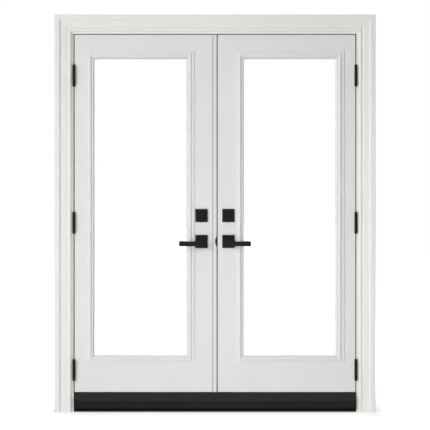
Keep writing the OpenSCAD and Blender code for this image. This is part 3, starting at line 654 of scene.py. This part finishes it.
# Painted shade: a grey strip set in the seam so that its line reads darker.
seam_shade_finish = Finish("seam_shade_strip", specular_ior_level=0.2)
dimple = seam_shade_finish.place.noise(scale=600.0, detail=3.0)
seam_shade_finish.vary(
    base_color=dimple.blend(shade(SEAM_SHADE_GREY, 0.8), SEAM_SHADE_GREY),
    roughness=0.6 + dimple * 0.2,
    normal=dimple.bump(depth=0.2 * MM, strength=0.5),
)
seam_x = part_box("astragal")[0].x
bead = []
for across, deep in SEAM_SHADE_SECTION:
    bead.append((seam_x + across * SEAM_WIDE, deep * SEAM_DEEP, leaf_low.z))
seam_shade = bmesh.new()
drawn_out(seam_shade, bead, (0, 0, leaf_high.z - leaf_low.z))
bmesh.ops.recalc_face_normals(seam_shade, faces=seam_shade.faces)
piece_from("astragal_seam_shade", seam_shade, seam_shade_finish, "left_leaf")

# Hinges: three black five-knuckle butts to a leaf, with round-tipped pins. A plate is let into the
# jamb and its fellow into the leaf's edge, each with four countersunk screws.
HARDWARE_BLACK = (0.0055, 0.0055, 0.005)
KNUCKLE_EASE = 0.5 * MM
PLATE_DEEP = 35.0 * MM
SCREW_R = 4.0 * MM
SCREW_H = 1.2 * MM
SCREW_STANDS = 0.35 * MM
SCREW_PARTS = 20
SCREW_TAPER = 0.94
RECESS_RIM = 0.34
RECESS_ARM = 0.13
RECESS_REACH = 0.55
RECESS_DEEP = 0.6
LOOKS_UP = 0.9
SCREW_UP = (-0.36, -0.13, 0.13, 0.36)
SCREW_IN = (0.34, 0.68, 0.34, 0.68)

satin_black = Finish("satin_black", specular_ior_level=0.1)
powder = satin_black.place.noise(scale=2200.0, detail=2.0)
handling = satin_black.place.noise(scale=45.0, detail=4.0).spread(low=0.42, high=0.72)
satin_black.vary(
    base_color=handling.blend(HARDWARE_BLACK, shade(HARDWARE_BLACK, 1.6)),
    roughness=0.40 + powder * 0.10 + handling * 0.06,
    normal=powder.bump(depth=0.05 * MM, strength=0.35),
)


def split(shape, faces, place, axis):
    """Cuts some faces of a shape along a plane."""
    parts = list({vert for face in faces for vert in face.verts})
    parts += list({edge for face in faces for edge in face.edges}) + faces
    bmesh.ops.bisect_plane(shape, geom=parts, plane_co=place, plane_no=axis)


def sink(shape, faces, run):
    """Pushes some faces into a shape, and leaves walls round them."""
    moved = bmesh.ops.extrude_face_region(shape, geom=faces)["geom"]
    deep = [part for part in moved if isinstance(part, bmesh.types.BMVert)]
    bmesh.ops.translate(shape, vec=run, verts=deep)
    bmesh.ops.delete(shape, geom=[face for face in faces if face.is_valid], context="FACES_ONLY")


def recess_faces(head):
    """The faces of a screw's top that lie inside its rim."""
    upper = [face for face in head.faces if face.normal.z > LOOKS_UP]
    return [face for face in upper if face.calc_center_median().xy.length < SCREW_R * RECESS_REACH]


def cross_head():
    """One countersunk screw head along Z, with a cross recess sunk in its top."""
    head = bmesh.new()
    bmesh.ops.create_cone(
        head, cap_ends=True, segments=SCREW_PARTS, radius1=SCREW_R, radius2=SCREW_R * SCREW_TAPER,
        depth=SCREW_H,
    )
    top = max(head.faces, key=lambda face: face.calc_center_median().z)
    bmesh.ops.inset_region(head, faces=[top], thickness=SCREW_R * RECESS_RIM, depth=0.0)
    arm = SCREW_R * RECESS_ARM
    for axis in (Vector((1, 0, 0)), Vector((0, 1, 0))):
        for place in (-arm, arm):
            split(head, recess_faces(head), axis * place, axis)
    recess = []
    for face in recess_faces(head):
        centre = face.calc_center_median()
        if min(abs(centre.x), abs(centre.y)) < arm / 2:
            recess.append(face)
    sink(head, recess, (0, 0, -SCREW_H * RECESS_DEEP))
    pattern = bpy.data.meshes.new("cross_head")
    head.to_mesh(pattern)
    head.free()
    return pattern


screw_pattern = cross_head()


def add_screw(shape, place, axis, size=1.0):
    """Seats a screw head at a place on a face that looks along an axis."""
    first = len(shape.verts)
    shape.from_mesh(screw_pattern)
    shape.verts.ensure_lookup_table()
    lift = SCREW_STANDS - SCREW_H * size / 2
    matrix = aimed(Vector(place) + Vector(axis) * lift, axis) @ Matrix.Scale(size, 4)
    bmesh.ops.transform(shape, matrix=matrix, verts=shape.verts[first:])


for node, body in (
    ("hinge_jamb_plates", "frame"), ("hinge_pins", "frame"),
    ("left_hinge_plates", "left_leaf"), ("right_hinge_plates", "right_leaf"),
):
    eased(node, KNUCKLE_EASE, satin_black, body)


def plate_screws(name, faces, body):
    """Four screws in each plate; a face is (its X, the way it looks along X)."""
    shape = bmesh.new()
    for x, way in faces:
        for middle in hinge_z:
            for up, inward in zip(SCREW_UP, SCREW_IN):
                add_screw(shape, (x, inward * PLATE_DEEP, middle + up * HINGE_TALL), (way, 0, 0))
    piece_from(name, shape, satin_black, body)


plate_screws("jamb_hinge_screws", ((jamb_face, -1), (-jamb_face, 1)), "frame")
plate_screws("left_hinge_screws", ((-leaf_high.x, -1),), "left_leaf")
plate_screws("right_hinge_screws", ((leaf_high.x, 1),), "right_leaf")

# Flush bolts: a round steel rod at the top and the bottom of the astragal, pushed by a thumb button
# in a slot. The rods shoot into keeper plates in the head and the tread.
STEEL_GREY = (0.50, 0.50, 0.49)
BOLT_EASE = 0.4 * MM

lock_steel = Finish("bright_lock_steel", metallic=1.0)
turned = lock_steel.place.noise(scale=1800.0, detail=2.0)
tarnish = lock_steel.place.noise(scale=60.0, detail=4.0).spread(low=0.4, high=0.75)
lock_steel.vary(
    base_color=tarnish.blend(STEEL_GREY, shade(STEEL_GREY, 0.7)),
    roughness=0.26 + turned * 0.10 + tarnish * 0.12,
    normal=turned.bump(depth=0.03 * MM, strength=0.3),
)
for node, body in (
    ("bolt_keepers", "frame"), ("top_bolt", "top_flush_bolt"), ("bottom_bolt", "bottom_flush_bolt"),
):
    eased(node, BOLT_EASE, lock_steel, body)

# Strikes: two black plates let into the astragal. The latch's plate has a curved lip that folds over
# the face, and each is held by two screws.
STRIKE_EASE = 0.35 * MM
STRIKE_SCREW_UP = 0.40
STRIKE_SCREW_SIZE = 0.85

middle_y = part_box("right_skin_in")[1].y / 2
for node in ("latch_strike", "deadbolt_strike"):
    eased(node, STRIKE_EASE, satin_black, "left_leaf")
    low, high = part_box(node)
    shape = bmesh.new()
    for way in (-1, 1):
        z = (low.z + high.z) / 2 + way * STRIKE_SCREW_UP * (high.z - low.z)
        add_screw(shape, (high.x, middle_y, z), (1, 0, 0), STRIKE_SCREW_SIZE)
    piece_from(node + "_screws", shape, satin_black, "left_leaf")

# Lock bodies: steel cases and bolts bored into the active leaf's stile, worked by a spindle and a
# tailpiece. Only the latch's slanted tip shows while the leaf is shut.
for node in ("lock_chassis", "lever_spindle", "tailpiece"):
    dressed(node, lock_steel)
for node, body in (
    ("latch_case", "right_leaf"), ("deadbolt_case", "right_leaf"), ("latch_bolt", "latch"),
    ("deadbolt", "deadbolt_slide_bar"),
):
    eased(node, BOLT_EASE, lock_steel, body)

# Roses: square black castings on both faces of each leaf, over the bores. The deadbolt's outer rose
# has a tapered collar, and a boss under it takes the grub screw that holds it.
ROSE_EASE = 0.5 * MM

for side in ("left", "right"):
    leaf = side + "_leaf"
    for kind in ("_lever_roses", "_deadbolt_roses"):
        eased(side + kind, ROSE_EASE, satin_black, leaf, segments=3)

# Key plug: a round barrel in the collar, finished satin black, with a slot for the key. It turns the
# tailpiece, as the thumb turn does on the inside.
TURN_EASE = 1.6 * MM
KEY_SLOT = (0.9 * MM, 4.4 * MM)
KEY_SLOT_DEEP = 6.0 * MM

plug = ease(solid_of("key_plug"), BOLT_EASE)
plug_low, plug_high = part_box("key_plug")
plug_front = (plug_low + plug_high) / 2
plug_front.y = plug_low.y


def plug_face(slot):
    """The outer faces of the plug within half a width and half a height of its middle."""
    faces = []
    for face in plug.faces:
        off = face.calc_center_median() - plug_front
        if abs(off.y) < BOLT_EASE / 4 and abs(off.x) < slot[0] and abs(off.z) < slot[1]:
            faces.append(face)
    return faces


whole = (plug_high.x - plug_low.x, plug_high.z - plug_low.z)
for axis, reach in ((Vector((1, 0, 0)), KEY_SLOT[0]), (Vector((0, 0, 1)), KEY_SLOT[1])):
    for way in (-1, 1):
        split(plug, plug_face(whole), plug_front + axis * way * reach, axis)
sink(plug, plug_face(KEY_SLOT), (0, KEY_SLOT_DEEP, 0))
piece_from("keyed_plug", plug, satin_black, "key_and_turn", ["key_plug"])
eased("thumb_turn", TURN_EASE, satin_black, "key_and_turn", segments=3)

# Levers: black castings, a round neck into a flat arm with a raised hub. The active leaf's pair turns
# on the spindle, and the passive leaf's pair is fixed to match.
LEVER_EASE = 0.9 * MM

eased("left_levers", LEVER_EASE, satin_black, "left_leaf", segments=3)
eased("right_levers", LEVER_EASE, satin_black, "lever_set", segments=3)

# Studio: a pale floor that keeps the shadow near the door's foot and is painted with a glow for the
# camera that grows with distance from the foot, painted light that fades the shadow into white; white
# all round for the camera, glass and gloss, wide lamps at the front left, on the right, overhead and
# behind, a low one and a soft light.
FLOOR_HALF = 40.0
FLOOR_WHITE = (0.92, 0.92, 0.92)
FOOT_HALF = (0.872, 0.0, 0.0)
FOOT_FADE = (10.0, 1.0, 1.0)
NEAR = 0.4
NEAR_PAINTED_GLOW = (
    (0.0, 0.0), (0.075, 0.24), (0.225, 0.36), (0.375, 0.39),
    (0.525, 0.38), (0.7, 0.44), (1.0, 0.5),
)
FAR = 3.0
FAR_PAINTED_GLOW = ((0.1, 0.0), (0.25, 0.13), (1.0, 0.52))
SKY = 0.10
MIDDLE = (0.0, 0.0, 1.0)

ground = bmesh.new()
bmesh.ops.create_grid(ground, x_segments=1, y_segments=1, size=FLOOR_HALF)
floor_mesh = bpy.data.meshes.new("floor")
ground.to_mesh(floor_mesh)
ground.free()
floor = bpy.data.objects.new("floor", floor_mesh)
bpy.context.scene.collection.objects.link(floor)


def is_white(tree):
    """Wires that are 1 for rays that see plain white: the camera's, then those of gloss and glass."""
    rays = tree.nodes.new("ShaderNodeLightPath").outputs
    camera_ray = Wire(tree, rays["Is Camera Ray"])
    glossy_ray = Wire(tree, rays["Is Glossy Ray"])
    glass_ray = Wire(tree, rays["Is Transmission Ray"])
    return camera_ray, glossy_ray.sum_of("MAXIMUM", glossy_ray, glass_ray)


floor_paper = Finish(
    "floor_paper", base_color=(*FLOOR_WHITE, 1), roughness=0.9, specular_ior_level=0.1,
    emission_strength=1.0,
)
tree = floor_paper.tree
seen, through = is_white(tree)
# Painted light: the floor glows for the camera more the further it lies from the door's foot.
beside = floor_paper.place.vector("ABSOLUTE").vector("SUBTRACT", FOOT_HALF).vector("MAXIMUM")
away = beside.vector("MULTIPLY", FOOT_FADE).vector("LENGTH", out=1)
lift = (away * (1 / NEAR)).ramp(*NEAR_PAINTED_GLOW) + (away * (1 / FAR)).ramp(*FAR_PAINTED_GLOW)
floor_paper.vary(emission_color=seen * lift)
white = seen.make("ShaderNodeEmission", {}, {"Color": (1, 1, 1, 1), "Strength": 1.0})
shown = seen.make("ShaderNodeMixShader", {}, {
    0: through, 1: Wire(tree, floor_paper.shader.outputs[0]), 2: white,
})
tree.links.new(shown.socket, tree.nodes["Material Output"].inputs["Surface"])
floor_mesh.materials.append(floor_paper.material)

world = bpy.data.worlds.new("white_room")
bpy.context.scene.world = world
world.use_nodes = True
sky = world.node_tree
seen, through = is_white(sky)
back = sky.nodes["Background"]
back.inputs["Color"].default_value = (1, 1, 1, 1)
strength = seen.sum_of("MAXIMUM", seen, through) * (1 - SKY) + SKY
sky.links.new(strength.socket, back.inputs["Strength"])


def lamp(name, place, target, size, power):
    """A square soft lamp that looks at a target."""
    light = bpy.data.lights.new(name, "AREA")
    light.shape = "SQUARE"
    light.size = size
    light.energy = power
    holder = bpy.data.objects.new(name, light)
    bpy.context.scene.collection.objects.link(holder)
    holder.location = place
    holder.rotation_euler = (Vector(target) - Vector(place)).to_track_quat("-Z", "Y").to_euler()


lamp("key_lamp", place=(-7.0, -7.5, 3.6), target=MIDDLE, size=3.5, power=484.0)
lamp("low_fill", place=(0.1, -2.8, 0.3), target=(0.0, 0.0, 0.5), size=1.4, power=29.5)
lamp("top_lamp", place=(0.0, -2.5, 8.0), target=MIDDLE, size=4.0, power=100.0)
lamp("back_lamp", place=(-4.0, 8.5, 3.6), target=MIDDLE, size=4.0, power=320.0)
lamp("side_lamp", place=(8.5, 1.8, 2.6), target=MIDDLE, size=4.0, power=120.0)

# Camera: straight in front at half height, far off behind a long lens, so that little converges.
CAMERA_PLACE = (0.0, -12.0, 1.077)
CAMERA_LENS = 183.5
SENSOR = 36.0

lens = bpy.data.cameras.new("camera")
lens.lens = CAMERA_LENS
lens.sensor_width = SENSOR
camera = bpy.data.objects.new("camera", lens)
camera.location = CAMERA_PLACE
camera.rotation_euler = (math.radians(90), 0, 0)
bpy.context.scene.collection.objects.link(camera)
bpy.context.scene.camera = camera
bpy.context.scene.view_settings.view_transform = "Standard"
